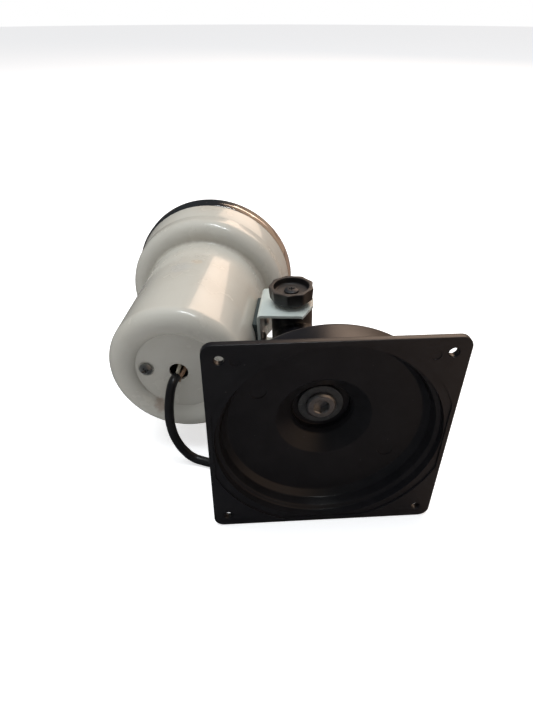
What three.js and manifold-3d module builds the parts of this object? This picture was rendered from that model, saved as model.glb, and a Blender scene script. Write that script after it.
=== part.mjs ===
// Motor-driven alarm siren on a swivel base plate.
// Millimetres, +Z up. The base plate stands upright with its mounting face in the plane Y = 0,
// and everything else stands out from it towards +Y. The origin is the centre of that face.
//
// Four groups are nested, as the siren comes apart: the base, the neck that pans on the base,
// the head that tilts on the neck, and the siren body whose local Y is its own turning axis.

import * as THREE from 'three';
import { mergeVertices } from 'three/addons/utils/BufferGeometryUtils.js';
import Module from 'manifold-3d';

const wasm = await Module();
wasm.setup();

const GAP = 0.3;                 // clearance between pieces that touch
const DEG = Math.PI / 180;

// Base plate
const PLATE_SIDE = 120;
const PLATE_THICK = 3.6;
const CORNER_R = 5.5;
const HOLE_SPACING = 104;       // both ways
const HOLE_R = 2.25;
const BOSS_R = 59.4;             // raised round front of the plate
const BOSS_Y = 18;
const TURRET_R = 21;             // seat of the neck
const TURRET_Y = 34.6;
const WELL_FLOOR_Y = 31.1;       // seat of the washer, seen from the mounting side
const PIVOT_R = 5;               // M10 pivot screw

// Neck
const CLAMP_AT = [-8, 103.6, 2.6];   // centre of the neck's eye, in the neck's frame
const EYE_R = 13.2;
const EYE_HALF = 18;
const NECK_R = 12.6;
const FOOT_R = 19;
const FOOT_Y = 36.1;
const STUD_R = 4;                // M8 clamp stud

// Rest position of the two swivels
const PAN_LEAN = -2.4 * DEG;
const TILT_TURN = -8.8 * DEG;

// Tilt bracket, in the head's frame: the eye's centre is its origin, Z is the clamp axis
const EAR_INNER = 18.5;
const EAR_THICK = 1.8;
const EAR_WIDTH = 35.6;
const WEB_X = -20.6;
const KNOB_R = 14.3;
const KNOB_Z = 22.9;
const KNOB_H = 9;
const KNOB_LOBES = 12;

// Siren body, turned about local Y, with its rear disc in the plane Y = 0
const AXIS_OFFSET = 64.6;        // from the clamp axis to the body's axis
const REAR_BACK = 49;            // from the clamp axis back to the rear disc
const WALL = 1.6;
const REAR_TORUS = { r: 33.9, y: 4.1, radius: 8.8 };
const CABLE_HOLE_R = 5.7;
const BARREL_END = { r: 43, y: 89.5 };
const BELL = { r: 56.4, y: 106.7, round: 10 };
const COLLAR_R = 58.4;
const COLLAR_Y = 121.2;
const COLLAR_BORE_R = 52.4;
const COLLAR_END_Y = 128.1;
const RING_R = 59.8;
const RING_Y = 134.2;
const SPIGOT_R = 56.8;
const REAR_SCREWS = [[-19.5, 1.5], [19.5, -1.5]];
const BRACKET_NUT_R = 40.5;        // outer face of the nuts inside the barrel, from its axis

// Motor and siren rotor, on the same axis
const SHAFT_R = 4;
const BEARING_R = 6.2;
const REAR_BRACKET_Y = 12;
const FRONT_BRACKET_Y = 84;
const CORE_Y = [40, 70];
const CORE_R = 36;
const POLE_R = 19.5;
const YOKE_R = 30.5;
const ARMATURE_R = 18.8;
const SLOT_FLOOR_R = 12;
const ROTOR_R = 46;
const ROTOR_Y = 102.5;
const ROTOR_HUB_H = 14;
const VANES = 8;
const STATOR_Y = 122.5;
const TIE_BOLT_R = 33.3;
const TIE_BOLT_END = 88;
const COMMUTATOR_R = 9;

// Power cord
const CORD_D = 5.6;
const FLOOR_Z = -60;           // lowest level that anything reaches
const COIL = { x: 4, y: 72, inner: 25.2, outer: 36.9, height: 17.2 };

// ---------------------------------------------------------------- solids

// One closed body whose faces share their corners.
function weld(geometry) {
  const bare = geometry.index ? geometry.toNonIndexed() : geometry.clone();
  bare.deleteAttribute('normal');
  bare.deleteAttribute('uv');
  const merged = mergeVertices(bare, 1e-4);
  const kept = [];
  const index = merged.index.array;
  for (let i = 0; i < index.length; i += 3) {
    const [a, b, c] = index.slice(i, i + 3);
    if (a !== b && b !== c && a !== c) kept.push(a, b, c);
  }
  merged.setIndex(kept);
  return merged;
}

function toSolid(geometry) {
  const merged = weld(geometry);
  return new wasm.Manifold(new wasm.Mesh({
    numProp: 3,
    vertProperties: new Float32Array(merged.attributes.position.array),
    triVerts: new Uint32Array(merged.index.array),
  }));
}

function toGeometry(solid) {
  const mesh = solid.getMesh();
  const geometry = new THREE.BufferGeometry();
  geometry.setAttribute('position', new THREE.BufferAttribute(mesh.vertProperties, 3));
  geometry.setIndex(new THREE.BufferAttribute(mesh.triVerts, 1));
  return geometry;
}

function join(...geometries) {
  const [first, ...rest] = geometries.map(toSolid);
  return toGeometry(rest.reduce((whole, piece) => whole.add(piece), first));
}

function cut(geometry, ...tools) {
  const cutAway = (whole, tool) => whole.subtract(tool);
  return toGeometry(tools.map(toSolid).reduce(cutAway, toSolid(geometry)));
}

function keepInside(geometry, limit) {
  return toGeometry(toSolid(geometry).intersect(toSolid(limit)));
}

// A body of revolution about Y from an outline of [radius, y] points. An outline that doesn't
// start and end on the axis is closed on itself.
function turned(outline, segments = 32) {
  const points = outline.map(([r, y]) => new THREE.Vector2(r, y));
  const onAxis = outline[0][0] === 0 && outline.at(-1)[0] === 0;
  if (!onAxis) points.push(points[0].clone());
  const clockwise = THREE.ShapeUtils.area(points) < 0;
  return weld(new THREE.LatheGeometry(clockwise ? points.reverse() : points, segments));
}

const rod = (r, y0, y1, segments = 24) => turned([[0, y0], [r, y0], [r, y1], [0, y1]], segments);
const tube = (inner, outer, y0, y1, segments = 24) =>
  turned([[inner, y0], [outer, y0], [outer, y1], [inner, y1]], segments);

// Turns a shape made about Y so that it stands along Z.
const alongZ = (geometry) => geometry.rotateX(Math.PI / 2);

function block(x0, x1, y0, y1, z0, z1) {
  const box = new THREE.BoxGeometry(x1 - x0, y1 - y0, z1 - z0);
  return box.translate((x0 + x1) / 2, (y0 + y1) / 2, (z0 + z1) / 2);
}

// A flat outline drawn in X and Z, given a thickness from y0 to y1.
function slab(shape, y0, y1, curveSegments = 12) {
  const flat = new THREE.ExtrudeGeometry(shape, { depth: y1 - y0, bevelEnabled: false, curveSegments });
  return flat.rotateX(Math.PI / 2).translate(0, y1, 0);
}

function arcPoints(cx, cy, radius, from, to, count) {
  const step = (to - from) / (count - 1);
  const angles = Array.from({ length: count }, (_, i) => (from + i * step) * DEG);
  return angles.map((a) => [cx + radius * Math.cos(a), cy + radius * Math.sin(a)]);
}

function polygon(points) {
  return new THREE.Shape(points.map(([x, y]) => new THREE.Vector2(x, y)));
}

// A pan-head screw along Y: its head's top at `top`, its shank running to `tip`.
function screw(headR, headH, shankR, top, tip, segments = 16) {
  const into = Math.sign(tip - top);
  const seat = top + into * headH;
  return turned([
    [0, top], [headR * 0.55, top + into * headH * 0.1], [headR * 0.9, top + into * headH * 0.45],
    [headR, seat], [shankR, seat], [shankR, tip], [0, tip],
  ], segments);
}

function hexNut(acrossFlats, height, bore, y0) {
  const corner = acrossFlats / Math.sqrt(3);
  const outline = polygon(arcPoints(0, 0, corner, 0, 300, 6));
  outline.holes.push(polygon(arcPoints(0, 0, bore, 0, -337.5, 16)));
  return slab(outline, y0, y0 + height);
}

function sweep(points, diameter, sides, steps) {
  const stations = points.map((p) => new THREE.Vector3(...p));
  const route = new THREE.CatmullRomCurve3(stations, false, 'centripetal');
  const section = polygon(arcPoints(0, 0, diameter / 2, 0, 360 - 360 / sides, sides));
  return new THREE.ExtrudeGeometry(section, { steps, extrudePath: route, bevelEnabled: false });
}

// ---------------------------------------------------------------- finishes

function finish(color, roughness, metalness) {
  return new THREE.MeshStandardMaterial({ color, roughness, metalness });
}

const FINISH = {
  enamel: finish(0xd8d3c3, 0.25, 0.1),
  bracketEnamel: finish(0xc2c9c1, 0.4, 0.1),
  blackPlastic: finish(0x111114, 0.35, 0),
  chrome: finish(0xd5d7da, 0.08, 1),
  zinc: finish(0xa9acad, 0.35, 1),
  greyWasher: finish(0x4a4c4e, 0.55, 0.4),
  brass: finish(0xb58f4b, 0.4, 1),
  fibre: finish(0x5b3b28, 0.8, 0),
  rubber: finish(0x1c1c1c, 0.7, 0),
  aluminium: finish(0xb9bcbf, 0.4, 1),
  laminations: finish(0x6c6f73, 0.5, 0.9),
  copper: finish(0x9c5226, 0.35, 0.9),
  carbon: finish(0x2a2a2c, 0.8, 0),
  bronze: finish(0x8e6b3c, 0.5, 1),
  ivory: finish(0xe4dcc6, 0.45, 0),
  flex: finish(0x0c0c0d, 0.4, 0),
};

function add(group, name, geometry, material) {
  const mesh = new THREE.Mesh(weld(geometry), material);
  mesh.name = name;
  group.add(mesh);
}

// ---------------------------------------------------------------- base

function basePlate() {
  const half = PLATE_SIDE / 2;
  const outline = new THREE.Shape();
  outline.moveTo(half - CORNER_R, -half);
  outline.absarc(half - CORNER_R, CORNER_R - half, CORNER_R, -90 * DEG, 0);
  outline.absarc(half - CORNER_R, half - CORNER_R, CORNER_R, 0, 90 * DEG);
  outline.absarc(CORNER_R - half, half - CORNER_R, CORNER_R, 90 * DEG, 180 * DEG);
  outline.absarc(CORNER_R - half, CORNER_R - half, CORNER_R, 180 * DEG, 270 * DEG);
  const flange = slab(outline, 0, PLATE_THICK, 5);
  const boss = turned([
    [0, 1], [BOSS_R, 1], ...arcPoints(BOSS_R - 4, BOSS_Y - 4, 4, 0, 90, 3),
    [28, 22.4], [23.5, 27.4], [TURRET_R, TURRET_Y], [0, TURRET_Y],
  ], 40);
  const rimFlat = half - 2.4;
  const recess = keepInside(rod(61.3, -2, 0.9, 40), block(-rimFlat, rimFlat, -3, 2, -rimFlat, rimFlat));
  const dish = turned([
    [0, -1], [57, -1], [57, 1.6], [54.7, 6.2], [51, 13.4], [49.4, 14.6], [25.3, 18.4], [16.6, 25],
    [15.8, 27.2], [15.8, WELL_FLOOR_Y], [0, WELL_FLOOR_Y],
  ], 40);
  const screwWay = rod(PIVOT_R + 0.5, 20, 40, 20);
  const holes = [];
  for (const x of [-1, 1]) {
    for (const z of [-1, 1]) {
      const hole = rod(HOLE_R, -5, 10, 12);
      holes.push(hole.translate(x * HOLE_SPACING / 2, 0, z * HOLE_SPACING / 2));
    }
  }
  return cut(join(flange, boss), recess, dish, screwWay, ...holes);
}

function pivotScrew() {
  const headTop = 27;
  const seat = 29.1;
  const body = turned([
    [0, headTop], [7.4, headTop], [8.2, headTop + 0.9], [8.2, seat], [PIVOT_R, seat], [PIVOT_R, 59], [0, 59],
  ], 24);
  const socket = new THREE.CylinderGeometry(4.1, 4.1, 4.5, 6).translate(0, headTop + 1.75, 0);
  return cut(body, socket);
}

function buildBase() {
  const base = new THREE.Group();
  add(base, 'base_plate', basePlate(), FINISH.blackPlastic);
  const washerTop = WELL_FLOOR_Y - GAP;
  add(base, 'pivot_washer', tube(PIVOT_R + 0.4, 12.4, washerTop - 1.4, washerTop), FINISH.greyWasher);
  return base;
}

// ---------------------------------------------------------------- neck

function neckBody() {
  const [ex, ey, ez] = CLAMP_AT;
  const foot = turned([
    [0, FOOT_Y], [FOOT_R, FOOT_Y], [FOOT_R, FOOT_Y + 3], [16, FOOT_Y + 8], [13.4, FOOT_Y + 20],
    [0, FOOT_Y + 20],
  ], 24);
  const start = new THREE.Vector3(0, FOOT_Y + 8, 0);
  const end = new THREE.Vector3(ex, ey, ez);
  const span = end.clone().sub(start);
  const column = new THREE.CylinderGeometry(NECK_R, 13.2, span.length(), 24);
  column.applyQuaternion(new THREE.Quaternion().setFromUnitVectors(
    new THREE.Vector3(0, 1, 0), span.clone().normalize()));
  column.translate(...start.clone().add(end).multiplyScalar(0.5).toArray());
  const eye = alongZ(rod(EYE_R, -EYE_HALF, EYE_HALF, 24)).translate(ex, ey, ez);
  const eyeLimit = block(-60, 60, -10, 200, ez - EYE_HALF, ez + EYE_HALF);
  const stem = join(foot, keepInside(join(column, eye), eyeLimit));
  const bushWay = alongZ(rod(6.6, -20, 20, 16)).translate(ex, ey, ez);
  return cut(stem, bushWay, rod(7, 30, 64, 16));
}

function buildNeck() {
  const neck = new THREE.Group();
  add(neck, 'neck', neckBody(), FINISH.blackPlastic);
  add(neck, 'neck_insert', tube(PIVOT_R + GAP, 6.6, FOOT_Y + 0.5, 62, 16), FINISH.brass);
  add(neck, 'pivot_screw', pivotScrew(), FINISH.zinc);
  add(neck, 'friction_disc', tube(PIVOT_R + 0.6, 18, TURRET_Y + GAP, FOOT_Y - GAP, 32), FINISH.fibre);
  const sleeve = alongZ(tube(STUD_R + GAP, 6.2, -EYE_HALF, EYE_HALF, 16)).translate(...CLAMP_AT);
  add(neck, 'clamp_sleeve', sleeve, FINISH.zinc);
  return neck;
}

// ---------------------------------------------------------------- clamp knob

function knobBody() {
  const outline = [];
  for (let i = 0; i < KNOB_LOBES * 6; i += 1) {
    const angle = i * 360 / (KNOB_LOBES * 6) * DEG;
    const r = KNOB_R - 0.9 * Math.max(0, -Math.cos(KNOB_LOBES * angle));
    outline.push([r * Math.cos(angle), r * Math.sin(angle)]);
  }
  const body = new THREE.ExtrudeGeometry(polygon(outline), { depth: KNOB_H, bevelEnabled: false });
  body.translate(0, 0, KNOB_Z);
  const recess = alongZ(rod(10.7, -20, 20, 24)).translate(0, 0, KNOB_Z + 4.9 + 20);
  const studHole = alongZ(rod(STUD_R + GAP, -10, 10, 14)).translate(0, 0, KNOB_Z + 3.3 - 10);
  const screwHole = alongZ(rod(1.9, -10, 10, 12)).translate(0, 0, KNOB_Z);
  return cut(body, recess, studHole, screwHole);
}

function addKnob(head) {
  const studTop = KNOB_Z + 3;
  const stud = turned([
    [0, -29.5], [STUD_R - 0.6, -29.5], [STUD_R, -28.9], [STUD_R, studTop], [1.8, studTop], [1.8, studTop - 7],
    [0, studTop - 7],
  ], 14);
  add(head, 'clamp_knob', knobBody(), FINISH.blackPlastic);
  add(head, 'clamp_stud', alongZ(stud), FINISH.zinc);
  const screwTop = KNOB_Z + 6.8;
  add(head, 'knob_screw', alongZ(screw(3.4, 1.6, 1.5, screwTop, KNOB_Z - 2.5, 14)), FINISH.blackPlastic);
}

// ---------------------------------------------------------------- tilt bracket

// One ear in X and Y: square at the web, its outer corners cut off.
function earOutline() {
  const w = EAR_WIDTH / 2;
  return polygon([
    [WEB_X, -w], [7.2, -w], [12.2, -8], [13.8, -4], [13.8, 4], [12.2, 8], [7.2, w], [WEB_X, w],
  ]);
}

const bracketScrewYs = [-10, 10];

function bracketScrewWays(reach) {
  const way = rod(2.3, -reach, reach, 12).rotateZ(90 * DEG);
  return bracketScrewYs.map((y) => way.clone().translate(WEB_X, y, 0));
}

function tiltBracket() {
  const outer = EAR_INNER + EAR_THICK;
  const ear = new THREE.ExtrudeGeometry(earOutline(), { depth: outer * 2, bevelEnabled: false });
  ear.translate(0, 0, -outer);
  const gapBetween = block(WEB_X + EAR_THICK, 40, -40, 40, -EAR_INNER, EAR_INNER);
  const studWay = alongZ(rod(STUD_R + 0.5, -30, 30, 14));
  return cut(ear, gapBetween, studWay, ...bracketScrewWays(5));
}

// A shaped pad that beds the flat web on the round barrel.
function bracketPad() {
  const w = EAR_WIDTH / 2 - 0.6;
  const pad = block(-26, WEB_X - GAP, -w, w, -13.5, 13.5);
  const barrel = turned(barrelCutOutline(), 40).translate(-AXIS_OFFSET, -REAR_BACK, 0);
  return cut(pad, barrel, ...bracketScrewWays(9));
}

function barrelCutOutline() {
  const r = REAR_TORUS.r + REAR_TORUS.radius + GAP;
  return [[0, REAR_TORUS.y], [r, REAR_TORUS.y], [BARREL_END.r + GAP, BARREL_END.y], [0, BARREL_END.y]];
}

function addBracket(head) {
  const outer = EAR_INNER + EAR_THICK;
  add(head, 'tilt_bracket', tiltBracket(), FINISH.bracketEnamel);
  add(head, 'bracket_pad', bracketPad(), FINISH.rubber);
  add(head, 'knob_washer', alongZ(tube(STUD_R + 0.4, 9, outer + 0.2, KNOB_Z - 0.2)), FINISH.zinc);
  const nut = hexNut(13, 6.5, STUD_R + GAP, 0).rotateX(Math.PI / 2).translate(0, 0, -outer - GAP - 6.5);
  add(head, 'clamp_nut', nut, FINISH.zinc);
  const seat = WEB_X + EAR_THICK + GAP;
  const nutFace = BRACKET_NUT_R - AXIS_OFFSET;
  ['rear', 'front'].forEach((place, i) => {
    const bolt = screw(3.9, 2.4, 2, seat + 2.4, nutFace - 2.6).rotateZ(-90 * DEG);
    add(head, `bracket_screw_${place}`, bolt.translate(0, bracketScrewYs[i], 0), FINISH.zinc);
    const inner = hexNut(7, 2.4, 2.3, 0).rotateZ(90 * DEG).translate(nutFace, bracketScrewYs[i], 0);
    add(head, `bracket_nut_${place}`, inner, FINISH.zinc);
  });
}

// ---------------------------------------------------------------- siren shell

// The drawn can's outline, set in from its outer skin: rear disc, rolled shoulder, tapered barrel
// and the round bell.
function canOutline(inset) {
  const torus = REAR_TORUS;
  const radius = torus.radius - inset;
  const discAngle = 180 + Math.asin((torus.y - inset) / radius) / DEG;
  const shoulder = arcPoints(torus.r, torus.y, radius, discAngle, 360, 6);
  const bellCentre = { r: BELL.r - BELL.round, y: BELL.y - 6 };
  const bell = arcPoints(bellCentre.r, bellCentre.y, BELL.round - inset, -90, 0, 4);
  const fillet = [bellCentre.r - 1.1 - inset * 0.4, bellCentre.y - BELL.round + 0.6 + inset];
  return [
    [CABLE_HOLE_R, inset], ...shoulder, [BARREL_END.r - inset, BARREL_END.y + inset], fillet,
    ...bell, [BELL.r - inset, BELL.y - 0.4],
  ];
}

function housing() {
  const shell = turned([...canOutline(0), ...canOutline(WALL).reverse()], 36);
  const rearHoles = REAR_SCREWS.map(([x, z]) => rod(2.4, -3, 4, 12).translate(x, 0, z));
  const sideHoles = bracketScrewYs.map((y) =>
    rod(2.4, -10, 10, 12).rotateZ(90 * DEG).translate(AXIS_OFFSET + WEB_X, y + REAR_BACK, 0));
  return cut(shell, ...rearHoles, ...sideHoles);
}

function frontCollar() {
  const spigot = BELL.r - WALL - GAP;
  return turned([
    [COLLAR_BORE_R, BELL.y - 6], [spigot, BELL.y - 6], [spigot, BELL.y], [BELL.r, BELL.y],
    [COLLAR_R, COLLAR_Y], [SPIGOT_R, COLLAR_Y], [SPIGOT_R, COLLAR_END_Y], [COLLAR_BORE_R, COLLAR_END_Y],
  ], 36);
}

function frontRing() {
  const lip = RING_Y - 3.4;
  return turned([
    [SPIGOT_R + GAP, COLLAR_Y + GAP], [COLLAR_R, COLLAR_Y + GAP], [RING_R, COLLAR_Y + 3],
    ...arcPoints(RING_R - 3.2, RING_Y - 3.2, 3.2, 0, 90, 3), [52, RING_Y - 0.6], [51.8, lip],
    [SPIGOT_R + GAP, lip],
  ], 36);
}

// A sector slot between two radii, drawn clockwise so that it is a hole.
function sectorSlot(r0, r1, from, to, count) {
  return polygon([...arcPoints(0, 0, r0, from, to, count), ...arcPoints(0, 0, r1, to, from, count)]);
}

function ringOfSlots(shape, r0, r1, count, open, offset, detail) {
  for (let i = 0; i < count; i += 1) {
    const middle = offset + i * 360 / count;
    const half = open * 180 / count;
    shape.holes.push(sectorSlot(r0, r1, middle - half, middle + half, detail));
  }
}

function frontGrille() {
  const face = polygon(arcPoints(0, 0, SPIGOT_R - GAP, 0, 350, 36));
  ringOfSlots(face, 14, 24.5, 6, 0.72, 0, 3);
  ringOfSlots(face, 28, 45, 12, 0.7, 0, 3);
  return slab(face, COLLAR_END_Y + GAP, COLLAR_END_Y + GAP + 2);
}

function statorPlate() {
  const face = polygon(arcPoints(0, 0, COLLAR_BORE_R - 0.4, 0, 345, 24));
  face.holes.push(polygon(arcPoints(0, 0, 13, 0, -340, 18)));
  ringOfSlots(face, 24, 44, VANES, 0.5, 18, 3);
  return slab(face, STATOR_Y, STATOR_Y + 3);
}

function addShell(body) {
  add(body, 'housing', housing(), FINISH.enamel);
  add(body, 'front_collar', frontCollar(), FINISH.enamel);
  add(body, 'front_ring', frontRing(), FINISH.chrome);
  add(body, 'front_grille', frontGrille(), FINISH.blackPlastic);
  add(body, 'stator_plate', statorPlate(), FINISH.aluminium);
  ['left', 'right'].forEach((place, i) => {
    const [x, z] = REAR_SCREWS[i];
    const fixing = screw(4.2, 2.3, 2, -2.3 - GAP, 9).translate(x, 0, z);
    add(body, `rear_screw_${place}`, fixing, FINISH.zinc);
  });
}

// ---------------------------------------------------------------- motor

function bracketPlate(radius, y, windows) {
  const face = polygon(arcPoints(0, 0, radius, 0, 345, 24));
  ringOfSlots(face, 14, 30, windows, 0.55, 0, 3);
  return slab(face, y, y + 3);
}

const tieBolts = [45, 225].map((a) => [TIE_BOLT_R * Math.cos(a * DEG), TIE_BOLT_R * Math.sin(a * DEG)]);

function tieHoles(r) {
  return tieBolts.map(([x, z]) => rod(r, -20, 120, 8).translate(x, 0, z));
}

function rearBracket() {
  const hub = rod(10, REAR_BRACKET_Y - 2.5, REAR_BRACKET_Y + 8, 16);
  const atScrews = (post) => REAR_SCREWS.map(([x, z]) => post.clone().translate(x, 0, z));
  const posts = atScrews(rod(4.5, WALL + GAP, REAR_BRACKET_Y + 1, 12));
  const solid = join(bracketPlate(40.8, REAR_BRACKET_Y, 2).rotateY(90 * DEG), hub, ...posts);
  const threads = atScrews(rod(2.3, -1, 10.5, 12));
  return cut(solid, rod(BEARING_R + GAP, 0, 40, 16), ...threads, ...tieHoles(2.4));
}

function frontBracket() {
  const hub = rod(10, FRONT_BRACKET_Y - 3, FRONT_BRACKET_Y + 8, 16);
  const solid = join(bracketPlate(40.2, FRONT_BRACKET_Y - 1, 4), hub);
  return cut(solid, rod(BEARING_R + GAP, 60, 120, 16), ...tieHoles(2.4));
}

// Half of one salient pole's edge, from its face out to the yoke, in X and Z.
function poleEdge(mirrorX, mirrorZ) {
  const edge = [[12.5, 14.9], [14.5, 17.2], [21.2, 12], [28, 12]];
  return edge.map(([x, z]) => [x * mirrorX, z * mirrorZ]);
}

function fieldCore() {
  const face = polygon(arcPoints(0, 0, CORE_R, 0, 345, 24));
  face.holes.push(polygon([
    ...arcPoints(0, 0, POLE_R, -42, 42, 6), ...poleEdge(1, 1), ...arcPoints(0, 0, YOKE_R, 30, 150, 8),
    ...poleEdge(-1, 1).reverse(), ...arcPoints(0, 0, POLE_R, 138, 222, 6), ...poleEdge(-1, -1),
    ...arcPoints(0, 0, YOKE_R, 210, 330, 8), ...poleEdge(1, -1).reverse(),
  ]));
  return cut(slab(face, ...CORE_Y), ...tieHoles(2.4));
}

function fieldCoil(side) {
  const frame = cut(
    block(22.2, 25, CORE_Y[0] - 6, CORE_Y[1] + 6, -16.4, 16.4),
    block(20, 30, CORE_Y[0] - GAP, CORE_Y[1] + GAP, -12.3, 12.3));
  return side < 0 ? frame.rotateY(Math.PI) : frame;
}

function armatureCore() {
  const slots = 10;
  const outline = [];
  for (let i = 0; i < slots; i += 1) {
    const a = i * 360 / slots;
    outline.push(...arcPoints(0, 0, ARMATURE_R, a - 14, a + 14, 3));
    outline.push(...arcPoints(0, 0, SLOT_FLOOR_R, a + 14, a + 22, 2));
  }
  const face = polygon(outline);
  face.holes.push(polygon(arcPoints(0, 0, SHAFT_R + GAP, 0, -337.5, 16)));
  return slab(face, ...CORE_Y);
}

function windingHead(y0, y1) {
  const inner = SHAFT_R + GAP;
  return turned([[inner, y0], [14, y0], [16.5, y0 + 1.5], [16.5, y1 - 1.5], [14, y1], [inner, y1]], 16);
}

function brushHolder(side) {
  const holder = cut(block(-5.5, 5.5, 15.3, 32, 11.5, 31), block(-2.7, 2.7, 24.3, 29.7, 5, 40));
  return side < 0 ? holder.rotateY(Math.PI) : holder;
}

function brush(side) {
  const stick = block(-2.4, 2.4, 24.6, 29.4, 9.4, 21);
  return side < 0 ? stick.rotateY(Math.PI) : stick;
}

function brushSpring(side) {
  const turns = 3;
  const perTurn = 6;
  const points = [];
  for (let i = 0; i <= turns * perTurn; i += 1) {
    const a = i * 360 / perTurn * DEG;
    points.push([1.8 * Math.cos(a), 27 + 1.8 * Math.sin(a), 21.8 + 8 * i / (turns * perTurn)]);
  }
  const coil = sweep(points, 0.7, 5, turns * perTurn);
  return side < 0 ? coil.rotateY(Math.PI) : coil;
}

function sirenRotor() {
  const disc = turned([
    [0, ROTOR_Y], [ROTOR_R, ROTOR_Y + 1.5], [ROTOR_R, ROTOR_Y + 3.5],
    [9, ROTOR_Y + 5], [9, ROTOR_Y + ROTOR_HUB_H], [0, ROTOR_Y + ROTOR_HUB_H],
  ], 24);
  const vanes = [];
  for (let i = 0; i < VANES; i += 1) {
    const vane = block(8, ROTOR_R - 1, ROTOR_Y + 2, ROTOR_Y + 17, -1, 1);
    vanes.push(vane.rotateY(i * 360 / VANES * DEG));
  }
  const nutWay = rod(12, ROTOR_Y + ROTOR_HUB_H, 140, 20);
  return cut(join(disc, ...vanes), rod(SHAFT_R + GAP, 60, 140, 16), nutWay);
}

function addMotor(body) {
  add(body, 'motor_rear_bracket', rearBracket(), FINISH.aluminium);
  add(body, 'motor_front_bracket', frontBracket(), FINISH.aluminium);
  add(body, 'bearing_rear', tube(SHAFT_R + 0.2, BEARING_R, 10, 20, 16), FINISH.bronze);
  add(body, 'bearing_front', tube(SHAFT_R + 0.2, BEARING_R, 81.5, 91.5, 16), FINISH.bronze);
  add(body, 'field_core', fieldCore(), FINISH.laminations);
  [1, 2].forEach((n) => {
    const side = n === 1 ? 1 : -1;
    add(body, `field_coil_${n}`, fieldCoil(side), FINISH.copper);
    add(body, `brush_holder_${n}`, brushHolder(side), FINISH.brass);
    add(body, `brush_${n}`, brush(side), FINISH.carbon);
    add(body, `brush_spring_${n}`, brushSpring(side), FINISH.zinc);
    const [x, z] = tieBolts[n - 1];
    const bolt = screw(3.8, 2.4, 2, REAR_BRACKET_Y - 2.7, TIE_BOLT_END, 12);
    add(body, `tie_bolt_${n}`, bolt.translate(x, 0, z), FINISH.zinc);
  });
}

function addArmature(body) {
  const washerY = ROTOR_Y + ROTOR_HUB_H + GAP;
  const washer = tube(SHAFT_R + GAP, 7.5, washerY, washerY + 1.2, 12);
  const nutY = washerY + 1.2 + GAP;
  add(body, 'rotor_shaft', rod(SHAFT_R, 11, nutY + 4.4, 16), FINISH.zinc);
  add(body, 'armature_core', armatureCore(), FINISH.laminations);
  add(body, 'winding_head_rear', windingHead(CORE_Y[0] - 7, CORE_Y[0] - GAP), FINISH.copper);
  add(body, 'winding_head_front', windingHead(CORE_Y[1] + GAP, CORE_Y[1] + 7), FINISH.copper);
  add(body, 'commutator', tube(SHAFT_R + GAP, COMMUTATOR_R, 21.5, 32.3, 16), FINISH.copper);
  add(body, 'siren_rotor', sirenRotor(), FINISH.aluminium);
  add(body, 'rotor_washer', washer, FINISH.zinc);
  add(body, 'rotor_nut', hexNut(11, 4, SHAFT_R + GAP, nutY), FINISH.zinc);
}

// ---------------------------------------------------------------- wiring

function addWiring(body) {
  add(body, 'terminal_block', block(-9, 9, WALL + GAP, 9.4, 16.4, 24.4), FINISH.ivory);
  const route = [[0, 1.2, -1.5], [0, 3.6, -0.5], [0, 5.6, 3], [0, 6, 9], [0, 6, 16]];
  add(body, 'inner_lead', sweep(route, 3.6, 8, 8), FINISH.ivory);
  add(body, 'cable_clamp', block(-7, 7, 8.2, 9.4, 8, 12.5), FINISH.zinc);
}

// ---------------------------------------------------------------- cord

// Out of the rear disc, down to the surface, and along it behind the base plate to the coil.
const CORD_FLOOR = FLOOR_Z + CORD_D / 2 + 0.1;
const CORD_ROUTE = [
  [-80.8, 63.6, -3.4], [-82.4, 59.2, -3.6], [-83.6, 56.6, -6.3], [-84.6, 54.8, -10.3],
  [-85.8, 52.3, -19.4], [-85.7, 50.6, -31.4], [-83.3, 49.6, -41.8], [-78.8, 48.7, -50.5],
  [-73.9, 47.9, -55.6], [-68.3, 46.2, CORD_FLOOR + 0.1], [-61, 43.6, CORD_FLOOR], [-50, 40.6, CORD_FLOOR],
  [-40, 38.9, CORD_FLOOR], [-30, 38, CORD_FLOOR], [-22, 37.8, CORD_FLOOR], [-15.9, 37.8, CORD_FLOOR],
];
const PLUG_Y = 106;              // the plug's tail end; its pins point to +Y
const PLUG_HALF = [7.5, 6.8];
const PLUG_AT = [39.2, FLOOR_Z + PLUG_HALF[1]];
const TAIL_ROUTE = [
  [38.2, 92.3, FLOOR_Z + 13.6], [38.6, 95, FLOOR_Z + 11.6], [39.1, 99, FLOOR_Z + 8.2],
  [39.2, PLUG_Y - 4, PLUG_AT[1]], [39.2, PLUG_Y - GAP, PLUG_AT[1]],
];

function plugBody() {
  const [w, h] = PLUG_HALF;
  const outline = polygon([
    [-w, 1 - h], [1 - w, -h], [w - 1, -h], [w, 1 - h], [w, h - 2], [w - 2, h], [2 - w, h], [-w, h - 2],
  ]);
  return slab(outline, 0, 27);
}

function addCord(root) {
  add(root, 'power_cord', sweep(CORD_ROUTE, CORD_D, 8, 38), FINISH.flex);
  const coil = alongZ(tube(COIL.inner, COIL.outer, FLOOR_Z, FLOOR_Z + COIL.height, 28));
  add(root, 'cord_coil', coil.translate(COIL.x, COIL.y, 0), FINISH.flex);
  add(root, 'cord_tail', sweep(TAIL_ROUTE, CORD_D, 8, 5), FINISH.flex);
  const [x, z] = PLUG_AT;
  add(root, 'plug_body', plugBody().translate(x, PLUG_Y, z), FINISH.rubber);
  [-1, 1].forEach((side, i) => {
    const pin = rod(1.5, PLUG_Y + 27 + GAP, PLUG_Y + 37, 12).translate(x + side * 3.4, 0, z);
    add(root, `plug_pin_${i + 1}`, pin, FINISH.brass);
  });
}

// ---------------------------------------------------------------- assembly

const siren = new THREE.Group();
siren.add(buildBase());

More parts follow.
